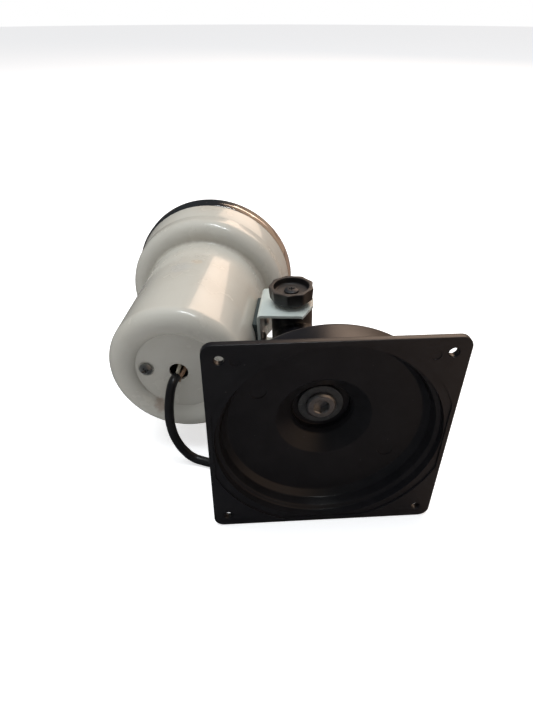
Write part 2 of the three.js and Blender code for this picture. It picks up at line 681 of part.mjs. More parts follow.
const pan = buildNeck();
pan.rotation.y = PAN_LEAN;
siren.add(pan);

const head = new THREE.Group();
head.position.set(...CLAMP_AT);
head.rotation.z = TILT_TURN;
pan.add(head);
addKnob(head);
addBracket(head);

const body = new THREE.Group();
body.position.set(-AXIS_OFFSET, -REAR_BACK, 0);
head.add(body);
addShell(body);
addMotor(body);
addArmature(body);
addWiring(body);

addCord(siren);

export default siren;
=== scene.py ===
# A motor-driven alarm siren on a swivel base plate. The mounting face of the base plate is the
# plane Y = 0, and the siren stands out from it towards +Y. It lies on its side on a pale table.
# Pieces are shaped in millimetres in the frame of what they are fixed to, and placed in metres.

import math

import bmesh
import bpy
from mathutils import Matrix, Vector


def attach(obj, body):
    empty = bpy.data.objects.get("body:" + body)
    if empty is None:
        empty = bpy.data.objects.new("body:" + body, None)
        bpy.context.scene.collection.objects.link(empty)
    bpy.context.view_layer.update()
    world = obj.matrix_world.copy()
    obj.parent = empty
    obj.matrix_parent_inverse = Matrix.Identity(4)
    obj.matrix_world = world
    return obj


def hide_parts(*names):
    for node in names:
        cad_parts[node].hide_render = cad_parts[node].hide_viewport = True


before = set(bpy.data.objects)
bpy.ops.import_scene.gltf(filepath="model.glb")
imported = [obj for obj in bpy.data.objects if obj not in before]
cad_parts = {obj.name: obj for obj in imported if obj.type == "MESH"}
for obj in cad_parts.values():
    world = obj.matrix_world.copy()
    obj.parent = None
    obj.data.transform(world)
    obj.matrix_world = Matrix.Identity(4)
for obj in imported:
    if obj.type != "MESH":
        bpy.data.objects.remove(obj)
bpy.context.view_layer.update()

# ---------------------------------------------------------------- camera
# Looks down on the mounting side of the plate from close in front of it, through a wide lens.

camera_stands_at = Vector((-0.0424, -0.1798, 0.1799))
camera_looks_at = Vector((-0.0268, 0.0729, 0.0031))

lens = bpy.data.cameras.new("camera")
lens.lens = 25.8
lens.sensor_width = 36
camera = bpy.data.objects.new("camera", lens)
camera.location = camera_stands_at
camera.rotation_euler = (camera_looks_at - camera_stands_at).to_track_quat("-Z", "Y").to_euler()
bpy.context.scene.collection.objects.link(camera)
bpy.context.scene.camera = camera

# ---------------------------------------------------------------- power cord
# Black two-core flex, 5.6 mm round, in a smooth PVC sheath. It comes out of a bare hole in the rear
# disc, drops to the table and runs behind the base plate, where the rest is wound into a coil.

MM = 0.001
base_place = Matrix.Scale(MM, 4)
table_level = -60.0
cord_diameter = 5.6
resting = table_level + cord_diameter / 2 + 0.1
flex_black = (0.010, 0.010, 0.011)


def put(tree, kind, inputs=(), **settings):
    """Adds a shader node. An input that is given a socket is linked to it, and any other is set."""
    made = tree.nodes.new("ShaderNode" + kind)
    for setting, value in settings.items():
        setattr(made, setting, value)
    for socket, value in dict(inputs).items():
        if isinstance(value, bpy.types.NodeSocket):
            tree.links.new(value, made.inputs[socket])
        else:
            made.inputs[socket].default_value = value
    return made


def maths(tree, operation, first, second=0.0, clamp=False):
    sum_of = put(tree, "Math", {0: first, 1: second}, operation=operation, use_clamp=clamp)
    return sum_of.outputs[0]


def mixed(tree, amount, first, second, blend="MIX"):
    """One colour over another, by an amount from 0 to 1."""
    made = put(tree, "Mix", {0: amount, 6: first, 7: second}, data_type="RGBA", blend_type=blend)
    return made.outputs[2]


def ramp(tree, value, low, high, to_low=0.0, to_high=1.0):
    """A value's stretch from low to high, made to run smoothly from to_low to to_high."""
    inputs = {"Value": value, "From Min": low, "From Max": high, "To Min": to_low, "To Max": to_high}
    return put(tree, "MapRange", inputs, interpolation_type="SMOOTHSTEP").outputs["Result"]


def effect(name, takes, gives):
    """An empty group of shader nodes, with named inputs at their usual values and named outputs."""
    tree = bpy.data.node_groups.new(name, "ShaderNodeTree")
    kinds = {float: "NodeSocketFloat", Vector: "NodeSocketVector", tuple: "NodeSocketColor"}
    for label, usual in takes.items():
        socket = tree.interface.new_socket(label, in_out="INPUT", socket_type=kinds[type(usual)])
        socket.default_value = usual
    for label, kind in gives.items():
        tree.interface.new_socket(label, in_out="OUTPUT", socket_type=kinds[kind])
    return tree, tree.nodes.new("NodeGroupInput").outputs, tree.nodes.new("NodeGroupOutput").inputs


def aged_skin():
    """Colour in soft patches, scattered specks and fine scratches: what use leaves on any finish."""
    tree, given, result = effect("aged_skin", {
        "Vector": Vector(), "Colour": (1.0, 1.0, 1.0, 1.0), "Patch colour": (1.0, 1.0, 1.0, 1.0),
        "Patch size": 10.0, "Patch amount": 0.5, "Speck colour": (0.0, 0.0, 0.0, 1.0),
        "Speck spacing": 8.0, "Speck size": 0.05, "Scratch colour": (0.5, 0.5, 0.5, 1.0),
        "Scratch amount": 0.0, "Grain size": 1.0, "Grain depth": 0.0, "Roughness": 0.5,
        "Roughness spread": 0.1,
    }, {"Colour": tuple, "Roughness": float, "Height": float, "Patches": float})
    place = given["Vector"]
    patches = put(tree, "TexNoise", {
        "Vector": place, "Scale": maths(tree, "DIVIDE", 1.0, given["Patch size"]), "Detail": 4.0,
        "Roughness": 0.6}).outputs["Fac"]
    patch = maths(tree, "MULTIPLY", ramp(tree, patches, 0.38, 0.66), given["Patch amount"])
    bent = put(tree, "VectorMath", {
        0: put(tree, "TexNoise", {"Vector": place, "Scale": 3.0}).outputs["Color"],
        "Scale": 0.35}, operation="SCALE").outputs[0]
    cells = put(tree, "TexVoronoi", {
        "Vector": put(tree, "VectorMath", {0: place, 1: bent}, operation="ADD").outputs[0],
        "Scale": maths(tree, "DIVIDE", 1.0, given["Speck spacing"])})
    chance = put(tree, "SeparateColor", {0: cells.outputs["Color"]}).outputs[0]
    reach = maths(tree, "MULTIPLY", maths(tree, "POWER", chance, 3.0), given["Speck size"])
    speck = maths(tree, "LESS_THAN", cells.outputs["Distance"], reach)
    streaks = []
    for turn, stretch in ((0.4, 0.05), (1.3, 0.04), (2.5, 0.06)):
        along = put(tree, "Mapping", {
            "Vector": place, "Rotation": (turn, turn * 0.7, turn * 1.9), "Scale": (stretch, 1.4, 1.4)})
        line = put(tree, "TexNoise", {"Vector": along.outputs[0], "Scale": 1.0, "Detail": 2.0})
        streaks.append(ramp(tree, line.outputs["Fac"], 0.71, 0.76))
    scratch = maths(tree, "ADD", maths(tree, "ADD", streaks[0], streaks[1]), streaks[2], clamp=True)
    scratch = maths(tree, "MULTIPLY", scratch, given["Scratch amount"])
    grain = put(tree, "TexNoise", {
        "Vector": place, "Scale": maths(tree, "DIVIDE", 1.0, given["Grain size"]), "Detail": 3.0})
    colour = mixed(tree, patch, given["Colour"], given["Patch colour"])
    colour = mixed(tree, scratch, colour, given["Scratch colour"])
    colour = mixed(tree, speck, colour, given["Speck colour"])
    uneven = maths(tree, "MULTIPLY", maths(tree, "SUBTRACT", patches, 0.5), given["Roughness spread"])
    roughness = maths(tree, "ADD", given["Roughness"], maths(tree, "MULTIPLY", uneven, 2.0))
    roughness = maths(tree, "ADD", roughness, maths(tree, "MULTIPLY", scratch, 0.2), clamp=True)
    height = maths(tree, "MULTIPLY", grain.outputs["Fac"], given["Grain depth"])
    height = maths(tree, "SUBTRACT", height, maths(tree, "MULTIPLY", speck, 0.02))
    tree.links.new(colour, result["Colour"])
    tree.links.new(roughness, result["Roughness"])
    tree.links.new(height, result["Height"])
    tree.links.new(patch, result["Patches"])
    return tree


aged = aged_skin()


def opaque(colour):
    return (*colour, 1.0)


def surface(name, place, wear, metallic=0.0, **constants):
    """A material whose pattern is in millimetres in the frame of its piece. Returns it with what
    a closer finish builds on: its tree, the point on the piece, the wear and the shader."""
    material = bpy.data.materials.new(name)
    material.use_nodes = True
    tree = material.node_tree
    shader = tree.nodes["Principled BSDF"]
    shader.inputs["Metallic"].default_value = metallic
    for label, value in constants.items():
        shader.inputs[label.replace("_", " ").title()].default_value = value
    point = put(tree, "Mapping", {
        "Vector": put(tree, "TexCoord").outputs["Object"], "Location": place.translation,
        "Rotation": place.to_euler(), "Scale": (MM, MM, MM)}, vector_type="TEXTURE").outputs[0]
    values = {label: opaque(v) if isinstance(v, tuple) else v for label, v in wear.items()}
    skin = put(tree, "Group", {"Vector": point, **values}, node_tree=aged)
    tree.links.new(skin.outputs["Colour"], shader.inputs["Base Color"])
    tree.links.new(skin.outputs["Roughness"], shader.inputs["Roughness"])
    bump = put(tree, "Bump", {"Height": skin.outputs["Height"], "Distance": MM})
    tree.links.new(bump.outputs[0], shader.inputs["Normal"])
    return material, tree, point, skin, shader, bump


def smooth_tube(name, route, diameter, material):
    """A round tube along one smooth curve through the points of its route."""
    line = bpy.data.curves.new(name, "CURVE")
    line.dimensions = "3D"
    line.bevel_depth = diameter / 2 * MM
    line.bevel_resolution = 4
    line.resolution_u = 5
    line.use_fill_caps = True
    spline = line.splines.new("BEZIER")
    spline.bezier_points.add(len(route) - 1)
    for knot, place in zip(spline.bezier_points, route):
        knot.co = Vector(place) * MM
        knot.handle_left_type = knot.handle_right_type = "AUTO"
    line.materials.append(material)
    piece = bpy.data.objects.new(name, line)
    bpy.context.scene.collection.objects.link(piece)
    return piece


free_route = [
    (-80.8, 63.6, -3.4), (-82.4, 59.2, -3.6), (-83.6, 56.6, -6.3), (-84.6, 54.8, -10.3),
    (-85.8, 52.3, -19.4), (-85.7, 50.6, -31.4), (-83.3, 49.6, -41.8), (-78.8, 48.7, -50.5),
    (-73.9, 47.9, -55.6), (-68.3, 46.2, resting + 0.1), (-61, 43.6, resting), (-50, 40.6, resting),
    (-40, 38.9, resting), (-30, 38, resting), (-22, 37.8, resting), (-15.9, 37.8, resting),
]
coil_centre = (4, 72)
outer_turn, inner_turn = 34.1, 28.0
layer_rise = 5.7
plug_middle = (39.2, table_level + 6.8)
tail_route = [
    (38.15, 82, table_level + 14.2), (38.2, 92.3, table_level + 13.6), (38.6, 95, table_level + 11.6),
    (39.1, 99, table_level + 8.2), (plug_middle[0], 102, plug_middle[1]),
    (plug_middle[0], 108, plug_middle[1]),
]
# Where along the winding, in degrees, the cord lies in which turn and on which layer.
winding = [
    (-90, outer_turn, 0), (210, outer_turn, 0), (260, inner_turn, 0), (510, inner_turn, 0),
    (570, inner_turn, 1), (810, inner_turn, 1), (870, outer_turn, 1), (1110, outer_turn, 1),
    (1170, outer_turn, 2), (1440, outer_turn, 2),
]
coil_route = []
for degrees in range(-90, 1441, 18):
    (start, r0, layer0), (end, r1, layer1) = next(
        pair for pair in zip(winding, winding[1:]) if degrees <= pair[1][0])
    t = (degrees - start) / (end - start)
    eased = t * t * (3 - 2 * t)
    r = r0 + (r1 - r0) * eased
    a = math.radians(degrees)
    coil_route.append((coil_centre[0] + r * math.cos(a), coil_centre[1] + r * math.sin(a),
                       resting + layer_rise * (layer0 + (layer1 - layer0) * eased)))

flex_sheath = surface("flex_sheath", base_place, {
    "Colour": flex_black, "Patch colour": (0.022, 0.021, 0.020), "Patch size": 22.0,
    "Speck colour": (0.09, 0.085, 0.08), "Speck spacing": 5.0, "Speck size": 0.06,
    "Scratch colour": (0.06, 0.058, 0.055), "Scratch amount": 0.35, "Grain size": 0.8,
    "Grain depth": 0.01, "Roughness": 0.36, "Roughness spread": 0.12})[0]
cord = smooth_tube("flex", free_route + coil_route + tail_route, cord_diameter, flex_sheath)
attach(cord, "head")
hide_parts("power_cord", "cord_coil", "cord_tail")

# ---------------------------------------------------------------- table and light
# A plain pale table top under a broad cool overhead light, with a warm wall to the right.

table_material, tree, point, skin, shader, bump = surface("table_top", base_place, {
    "Colour": (0.88, 0.88, 0.88), "Patch colour": (0.87, 0.87, 0.87), "Patch size": 60.0,
    "Speck size": 0.0, "Roughness": 0.8, "Roughness spread": 0.05})
rays = put(tree, "LightPath")
seen = rays.outputs["Is Camera Ray"]
across_table = put(tree, "SeparateXYZ", {0: point}).outputs["X"]
# In reflections only, the table is painted dark on the left and warm tan on the right: a painted reflection
# of a room.
painted_room_reflection = mixed(tree, ramp(tree, across_table, -60, 200), opaque((0.035, 0.035, 0.04)),
                  opaque((0.30, 0.20, 0.14)))
tree.links.new(mixed(tree, rays.outputs["Is Glossy Ray"], skin.outputs["Colour"], painted_room_reflection),
               shader.inputs["Base Color"])
shader.inputs["Emission Color"].default_value = opaque((1.0, 1.0, 1.0))
tree.links.new(maths(tree, "MULTIPLY", seen, 0.6), shader.inputs["Emission Strength"])
table_shape = bmesh.new()
bmesh.ops.create_circle(table_shape, cap_ends=True, radius=7, segments=64)
bmesh.ops.translate(table_shape, verts=table_shape.verts, vec=(0, 0, (table_level - 0.05) * MM))
table_mesh = bpy.data.meshes.new("table")
table_shape.to_mesh(table_mesh)
table_shape.free()
table_mesh.materials.append(table_material)
table = bpy.data.objects.new("table", table_mesh)
bpy.context.scene.collection.objects.link(table)


def softbox(name, place, aim, size, power, colour, in_reflections=True):
    """A rectangular studio light."""
    light = bpy.data.lights.new(name, "AREA")
    light.shape = "RECTANGLE"
    light.size, light.size_y = size
    light.energy = power
    light.color = colour
    lamp = bpy.data.objects.new(name, light)
    lamp.location = place
    lamp.rotation_euler = (Vector(aim) - Vector(place)).to_track_quat("-Z", "Y").to_euler()
    lamp.visible_glossy = in_reflections
    bpy.context.scene.collection.objects.link(lamp)


softbox("overhead", (-0.5, 0.35, 1.6), (-0.05, 0.1, 0), (1.6, 1.4), 20.0, (0.93, 0.97, 1.0), False)
softbox("warm_wall", (0.95, 1.75, 1.35), (-0.05, 0.1, 0), (1.5, 1.1), 16.0, (1.0, 0.74, 0.56))
softbox("skylight", (0.05, 0.0, 1.5), (-0.05, 0.1, 0), (0.10, 0.7), 5.0, (0.92, 0.97, 1.0))

sky = bpy.data.worlds.new("studio")
bpy.context.scene.world = sky
sky.use_nodes = True
sky_tree = sky.node_tree
direction = put(sky_tree, "SeparateXYZ", {0: put(sky_tree, "TexCoord").outputs["Generated"]})
side = ramp(sky_tree, direction.outputs["X"], 0.0, 0.5)
room = mixed(sky_tree, side, opaque((0.03, 0.033, 0.036)), opaque((0.42, 0.29, 0.20)))
ray = put(sky_tree, "LightPath")
room = mixed(sky_tree, ray.outputs["Is Diffuse Ray"], room, opaque((0.28, 0.29, 0.31)))
room = mixed(sky_tree, ray.outputs["Is Camera Ray"], room, opaque((1.0, 1.0, 1.0)))
sky_tree.links.new(room, sky_tree.nodes["Background"].inputs["Color"])
sky_tree.nodes["Background"].inputs["Strength"].default_value = 1.0
bpy.context.scene.view_settings.view_transform = "Standard"

# ---------------------------------------------------------------- base plate
# One moulding in black plastic: a square flange with four fixing holes, domed in the middle and
# hollow behind, with a deep funnel down to the seat of the pivot screw.

plate_side = 120
plate_thick = 3.6
plate_corner = 5.5
hole_at = (52, 52)
hole_r = 2.25
plastic_black = (0.0105, 0.0105, 0.0125)


def rounded(corners, closed=True, steps=6):
    """An outline through corners given as (x, y, rounding), with an arc at each rounded corner."""
    points = []
    for i, (x, y, fillet) in enumerate(corners):
        here = Vector((x, y))
        if fillet == 0 or (not closed and i in (0, len(corners) - 1)):
            points.append(here)
            continue
        back = (Vector(corners[i - 1][:2]) - here).normalized()
        on = (Vector(corners[(i + 1) % len(corners)][:2]) - here).normalized()
        half = back.angle(on) / 2
        centre = here + (back + on).normalized() * (fillet / math.sin(half))
        reach = fillet / math.tan(half)
        first, last = here + back * reach - centre, here + on * reach - centre
        points += [centre + first.slerp(last, k / steps).normalized() * fillet for k in range(steps + 1)]
    return points


def spun(outline, steps=96, closed=True):
    """A solid of revolution about Y from an outline of (radius, height)."""
    made = bmesh.new()
    knots = [made.verts.new((x, y, 0)) for x, y in outline]
    pairs = list(zip(knots, knots[1:])) + ([(knots[-1], knots[0])] if closed else [])
    lines = [made.edges.new(pair) for pair in pairs]
    bmesh.ops.spin(made, geom=knots + lines, axis=(0, 1, 0), cent=(0, 0, 0), angle=math.tau,
                   steps=steps, use_merge=True)
    bmesh.ops.remove_doubles(made, verts=made.verts, dist=1e-4)
    bmesh.ops.recalc_face_normals(made, faces=made.faces)
    return made


def placed(made, *places):
    """The same shape, moved by each matrix in turn."""
    for place in places:
        made.transform(place)
    return made


def as_blank(made):
    mesh = bpy.data.meshes.new("blank")
    made.to_mesh(mesh)
    made.free()
    blank = bpy.data.objects.new("blank", mesh)
    bpy.context.scene.collection.objects.link(blank)
    return blank


def worked(made, *steps):
    """A shape after modifiers, each given as its kind and its settings."""
    blank = as_blank(made)
    for kind, settings in steps:
        modifier = blank.modifiers.new(kind.lower(), kind)
        for setting, value in settings.items():
            setattr(modifier, setting, value)
    result = bmesh.new()
    result.from_object(blank, bpy.context.evaluated_depsgraph_get())
    bpy.data.objects.remove(blank)
    return result


def carved(made, *tools, operation="DIFFERENCE"):
    """A shape after each tool is cut from it, or joined to it."""
    blanks = [as_blank(tool) for tool in tools]
    result = worked(made, *[
        ("BOOLEAN", {"object": b, "operation": operation, "solver": "MANIFOLD"}) for b in blanks])
    for blank in blanks:
        bpy.data.objects.remove(blank)
    return result


def box(low, high):
    """A block between two corners."""
    low, high = Vector(low), Vector(high)
    made = bmesh.new()
    bmesh.ops.create_cube(made, size=1)
    bmesh.ops.scale(made, vec=high - low, verts=made.verts)
    bmesh.ops.translate(made, vec=(low + high) / 2, verts=made.verts)
    return made


def rounding(made, edges, offset, segments=3):
    bmesh.ops.bevel(made, geom=edges, offset=offset, segments=segments, affect="EDGES", profile=0.5,
                    material=-1)


def finished(made, name, place, body, nodes, material, crisp=35):
    """Places a shape, gives it its finish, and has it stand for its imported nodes."""
    made.transform(place)
    mesh = bpy.data.meshes.new(name)
    made.to_mesh(mesh)
    made.free()
    mesh.shade_smooth()
    mesh.set_sharp_from_angle(angle=math.radians(crisp))
    mesh.materials.append(material)
    piece = bpy.data.objects.new(name, mesh)
    bpy.context.scene.collection.objects.link(piece)
    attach(piece, body)
    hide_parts(*nodes)
    return piece


flange = box((-plate_side / 2, 0, -plate_side / 2), (plate_side / 2, plate_thick, plate_side / 2))
upright_edges = [e for e in flange.edges if abs(e.verts[0].co.y - e.verts[1].co.y) > 1]
rounding(flange, upright_edges, plate_corner, 10)
rim_edges = [e for e in flange.edges if abs(e.verts[0].co.y - e.verts[1].co.y) < 0.01]
rounding(flange, rim_edges, 0.5)
dome = spun(rounded([
    (0, 1, 0), (59.4, 1, 0), (59.4, 18, 4), (28, 22.4, 6), (23.5, 27.4, 3), (21, 34.6, 1.2), (0, 34.6, 0),
], closed=False), 160, closed=False)
recess = bmesh.new()
bmesh.ops.create_circle(recess, cap_ends=True, radius=61.3, segments=200)
for corner in recess.verts:
    corner.co.x = max(-57.6, min(57.6, corner.co.x))
    corner.co.y = max(-57.6, min(57.6, corner.co.y))
lifted = bmesh.ops.extrude_face_region(recess, geom=recess.faces[:])["geom"]
bmesh.ops.translate(recess, vec=(0, 0, 2.9), verts=[v for v in lifted if isinstance(v, bmesh.types.BMVert)])
bmesh.ops.recalc_face_normals(recess, faces=recess.faces)
placed(recess, Matrix.Rotation(math.radians(-90), 4, "X"), Matrix.Translation((0, -2, 0)))
hollow = spun(rounded([
    (0, -1, 0), (57, -1, 0), (56.8, 5.0, 0.8), (54.6, 6.0, 0.7), (53.6, 11, 3), (50.8, 14.5, 1.6),
    (25.3, 18.4, 2.2), (17, 24.8, 3), (15.8, 27.4, 0.5), (15.8, 31.1, 0.5), (0, 31.1, 0),
], closed=False), 160, closed=False)
screw_way = spun([(0, 25), (5.5, 25), (5.5, 40), (0, 40)], 48, closed=False)
fixing_holes = []
for x in (-hole_at[0], hole_at[0]):
    for z in (-hole_at[1], hole_at[1]):
        drill = spun(rounded([
            (0, -1, 0), (3.4, -1, 0), (2.6, 0, 0.3), (hole_r, 0.5, 0.4), (hole_r, 3.2, 0.4),
            (2.5, 3.6, 0.2), (3.2, 5, 0), (0, 5, 0)], closed=False), 32, closed=False)
        fixing_holes.append(placed(drill, Matrix.Translation((x, 0, z))))
ejector_marks = []
floor_slope = 3.9 / 25.5
for x, z, r in ((-45, 51.5, 2.5), (44, 51, 2.6), (-34.4, 21, 4.4), (34.4, -22.3, 4.1)):
    reach = math.hypot(x, z)
    on_floor = reach < 50
    level = 14.5 + (50.8 - reach) * floor_slope if on_floor else 0
    mark_side = rounded([(0, -3, 0), (r + 0.2, -3, 0), (r, 0.35, 0.12), (0, 0.35, 0)], closed=False)
    mark = spun(mark_side, 40, closed=False)
    lean = floor_slope / reach if on_floor else 0
    square_to = Vector((x * lean, 1, z * lean))
    turn = Vector((0, 1, 0)).rotation_difference(square_to).to_matrix().to_4x4()
    ejector_marks.append(placed(mark, turn, Matrix.Translation((x, level, z))))
plate = carved(flange, dome, operation="UNION")
plate = carved(plate, recess, hollow, screw_way, *fixing_holes, *ejector_marks)
black_moulding = surface("black_moulding", base_place, {
    "Colour": plastic_black, "Patch colour": (0.017, 0.016, 0.018), "Patch size": 16.0,
    "Speck colour": (0.05, 0.048, 0.05), "Speck spacing": 4.5, "Speck size": 0.09,
    "Scratch colour": (0.035, 0.034, 0.037), "Scratch amount": 0.4, "Grain size": 0.5,
    "Grain depth": 0.012, "Roughness": 0.34, "Roughness spread": 0.1})[0]
finished(plate, "swivel_plate", base_place, "base", ["base_plate"], black_moulding)

# ---------------------------------------------------------------- pivot
# A low-head socket screw holds the neck to the plate. It bears on a thick dark washer in the
# bottom of the funnel, and a fibre disc between plate and neck gives the swivel its drag.

dark_steel = surface("dark_steel", base_place, {
    "Colour": (0.075, 0.078, 0.080), "Patch colour": (0.12, 0.115, 0.11), "Patch size": 3.0,
    "Speck colour": (0.16, 0.14, 0.12), "Speck spacing": 1.6, "Speck size": 0.2,
    "Scratch amount": 0.3, "Grain size": 0.35, "Grain depth": 0.02, "Roughness": 0.5,
    "Roughness spread": 0.15}, 0.55)[0]
washer = spun(rounded([(5.4, 29.4, 0.2), (12.4, 29.4, 0.35), (12.4, 30.8, 0.2), (5.4, 30.8, 0.2)]), 80)
finished(washer, "thick_washer", base_place, "base", ["pivot_washer"], dark_steel)

zinc_wear = {
    "Colour": (0.50, 0.51, 0.52), "Patch colour": (0.36, 0.36, 0.35), "Patch size": 2.5,
    "Speck colour": (0.16, 0.13, 0.10), "Speck spacing": 1.5, "Speck size": 0.14,
    "Scratch colour": (0.75, 0.75, 0.74), "Scratch amount": 0.5, "Grain size": 0.25,
    "Grain depth": 0.012, "Roughness": 0.36, "Roughness spread": 0.2}
zinc = surface("zinc_plate", base_place, zinc_wear, 0.95)[0]
neck_place = base_place @ Matrix.Rotation(math.radians(-2.4), 4, "Y")
pivot = spun(rounded([
    (0, 27, 0), (7.2, 27, 0.5), (8.2, 27.8, 0.4), (8.2, 29.1, 0.2), (5, 29.1, 0), (5, 59, 0.5),
    (0, 59, 0)], closed=False), 72, closed=False)
socket = bmesh.new()
bmesh.ops.create_cone(socket, cap_ends=True, segments=6, radius1=4.5, radius2=4.5, depth=4.5)
placed(socket, Matrix.Rotation(math.radians(90), 4, "X"), Matrix.Translation((0, 28.75, 0)))
socket_mouth = spun([(0, 26.6), (5.2, 26.6), (4.0, 27.5), (0, 27.5)], 48, closed=False)
pivot = carved(pivot, socket, socket_mouth)
finished(pivot, "socket_screw", neck_place, "neck", ["pivot_screw"], zinc)

fibre = surface("brown_fibre", neck_place, {
    "Colour": (0.14, 0.07, 0.04), "Patch colour": (0.21, 0.12, 0.07), "Patch size": 1.5,
    "Speck colour": (0.04, 0.02, 0.015), "Speck spacing": 1.2, "Speck size": 0.25,
    "Grain size": 0.3, "Grain depth": 0.05, "Roughness": 0.8})[0]


def refinish(node, material):
    """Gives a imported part, whose shape is right as it is, its real finish."""
    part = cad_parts[node]
    part.data.materials.clear()
    part.data.materials.append(material)


refinish("friction_disc", fibre)

# ---------------------------------------------------------------- neck
# A hollow black moulding: a flared foot, a round column that leans towards the siren's side, and a
# flat-faced eye that the clamp stud goes through. A brass insert takes the pivot screw.

eye_at = (-8, 103.6, 2.6)
eye_r, eye_half = 13.2, 18
upright = Matrix.Rotation(math.radians(90), 4, "X")
foot = spun(rounded([
    (0, 36.1, 0), (19, 36.1, 0.6), (19, 39.1, 1.5), (15.6, 44.3, 5), (13.4, 56, 0), (0, 56, 0),
], closed=False), 64, closed=False)
foot_top = Vector((0, 44.1, 0))
lean = Vector(eye_at) - foot_top
column = bmesh.new()
bmesh.ops.create_cone(column, cap_ends=True, segments=64, radius1=13.2, radius2=12.6, depth=lean.length)
placed(column, lean.to_track_quat("Z", "Y").to_matrix().to_4x4(),
       Matrix.Translation((foot_top + Vector(eye_at)) / 2))
eye_limit = box((-60, -10, eye_at[2] - eye_half), (60, 200, eye_at[2] + eye_half))
column = carved(column, eye_limit, operation="INTERSECT")
eye = spun(rounded([(0, -eye_half, 0), (eye_r, -eye_half, 0.9), (eye_r, eye_half, 0.9), (0, eye_half, 0)],
                   closed=False), 72, closed=False)
placed(eye, upright, Matrix.Translation(eye_at))
neck = carved(foot, column, eye, operation="UNION")
neck = worked(neck, ("REMESH", {"mode": "VOXEL", "voxel_size": 0.55}),
              ("SMOOTH", {"factor": 0.5, "iterations": 5}))
stud_way = placed(spun([(0, -20), (6.6, -20), (6.6, 20), (0, 20)], 40, closed=False), upright,
                  Matrix.Translation(eye_at))
insert_way = spun([(0, 30), (7, 30), (7, 64), (0, 64)], 40, closed=False)
neck = carved(neck, stud_way, insert_way)
neck_moulding = surface("neck_moulding", neck_place, {
    "Colour": (0.005, 0.005, 0.007), "Patch colour": (0.009, 0.009, 0.011), "Patch size": 12.0,
    "Speck colour": (0.06, 0.055, 0.05), "Speck spacing": 4.0, "Speck size": 0.08,
    "Scratch colour": (0.045, 0.043, 0.042), "Scratch amount": 0.4, "Grain size": 0.5,
    "Grain depth": 0.012, "Roughness": 0.33, "Roughness spread": 0.1})[0]
finished(neck, "neck_moulding", neck_place, "neck", ["neck"], neck_moulding)

brass = surface("plain_brass", neck_place, {
    "Colour": (0.60, 0.42, 0.18), "Patch colour": (0.42, 0.28, 0.12), "Patch size": 2.0,
    "Speck colour": (0.2, 0.12, 0.05), "Speck spacing": 1.5, "Speck size": 0.12,
    "Scratch colour": (0.8, 0.62, 0.3), "Scratch amount": 0.5, "Grain size": 0.3,
    "Grain depth": 0.01, "Roughness": 0.3, "Roughness spread": 0.15}, 1.0)[0]
refinish("neck_insert", brass)
refinish("clamp_sleeve", zinc)

# ---------------------------------------------------------------- clamp knob
# A black plastic knob with nine narrow ridges between wide flutes, dished on top, screwed onto the
# end of the clamp stud. A greyish brown painted highlight lies on its top rim, and the edge of its dish
# floor is greyish brown.

head_place = neck_place @ Matrix.Translation(eye_at) @ Matrix.Rotation(math.radians(-8.8), 4, "Z")
knob_bottom, knob_top = 22.9, 31.9
knob_r = 14.3
ridge_count = 9
flute_depth = 1.3
first_ridge = math.radians(-95.7)
knob = spun(rounded([
    (0, knob_bottom, 0), (knob_r - 2.2, knob_bottom, 0), (knob_r - 0.7, knob_bottom + 1.2, 1.0),
    (knob_r, knob_top - 1, 3), (knob_r, knob_top, 0.6), (11.2, knob_top, 0.4),
    (10.8, knob_top - 4.0, 1.2), (0, knob_top - 4.1, 0),
], closed=False), 192, closed=False)
placed(knob, upright)
for corner in knob.verts:
    r = math.hypot(corner.co.x, corner.co.y)
    if r > knob_r - 2:
        turn = math.atan2(corner.co.y, corner.co.x) - first_ridge
        hollowed = math.sqrt(math.sin(turn * ridge_count / 2) ** 2 + 0.03) - math.sqrt(0.03)
        share = (r - flute_depth * hollowed * min(1, (r - knob_r + 2) / 2)) / r
        corner.co.x *= share
        corner.co.y *= share
stud_socket = placed(spun([(0, -10), (4.3, -10), (4.3, 3.3), (0, 3.3)], 32, closed=False), upright,
                     Matrix.Translation((0, 0, knob_bottom)))
knob = carved(knob, stud_socket)
knob_wear_and_highlight, tree, point, skin, shader, bump = surface("knob_moulding", head_place, {
    "Colour": (0.006, 0.006, 0.007), "Patch colour": (0.012, 0.011, 0.011), "Patch size": 6.0,
    "Speck colour": (0.07, 0.06, 0.055), "Speck spacing": 2.5, "Speck size": 0.1,
    "Scratch colour": (0.06, 0.055, 0.05), "Scratch amount": 0.4, "Grain size": 0.45,
    "Grain depth": 0.02, "Roughness": 0.4, "Roughness spread": 0.15})
along = put(tree, "SeparateXYZ", {0: point})
from_axis = put(tree, "VectorMath", {0: put(tree, "CombineXYZ", {
    0: along.outputs[0], 1: along.outputs[1]}).outputs[0]}, operation="LENGTH").outputs["Value"]
# Greyish brown painted highlight on the top rim, and greyish brown round the edge of the dish floor.
painted_rim_highlight = maths(tree, "MULTIPLY", ramp(tree, along.outputs[2], knob_top - 1.0, knob_top - 0.2),
                 ramp(tree, from_axis, 10.9, 11.5))
dish_floor_brown = maths(tree, "MULTIPLY", ramp(tree, along.outputs[2], knob_top - 3.4, knob_top - 4.0),
                   ramp(tree, from_axis, 11.0, 9.4))
rim_highlight_and_floor_brown = maths(tree, "MULTIPLY", maths(tree, "MAXIMUM", painted_rim_highlight, maths(tree, "MULTIPLY", dish_floor_brown, 0.8)),
               ramp(tree, skin.outputs["Roughness"], 0.2, 0.42, 0.55, 1.0))
tree.links.new(mixed(tree, rim_highlight_and_floor_brown, skin.outputs["Colour"], opaque((0.060, 0.050, 0.044))),
               shader.inputs["Base Color"])
finished(knob, "fluted_knob", head_place, "knob", ["clamp_knob"], knob_wear_and_highlight)


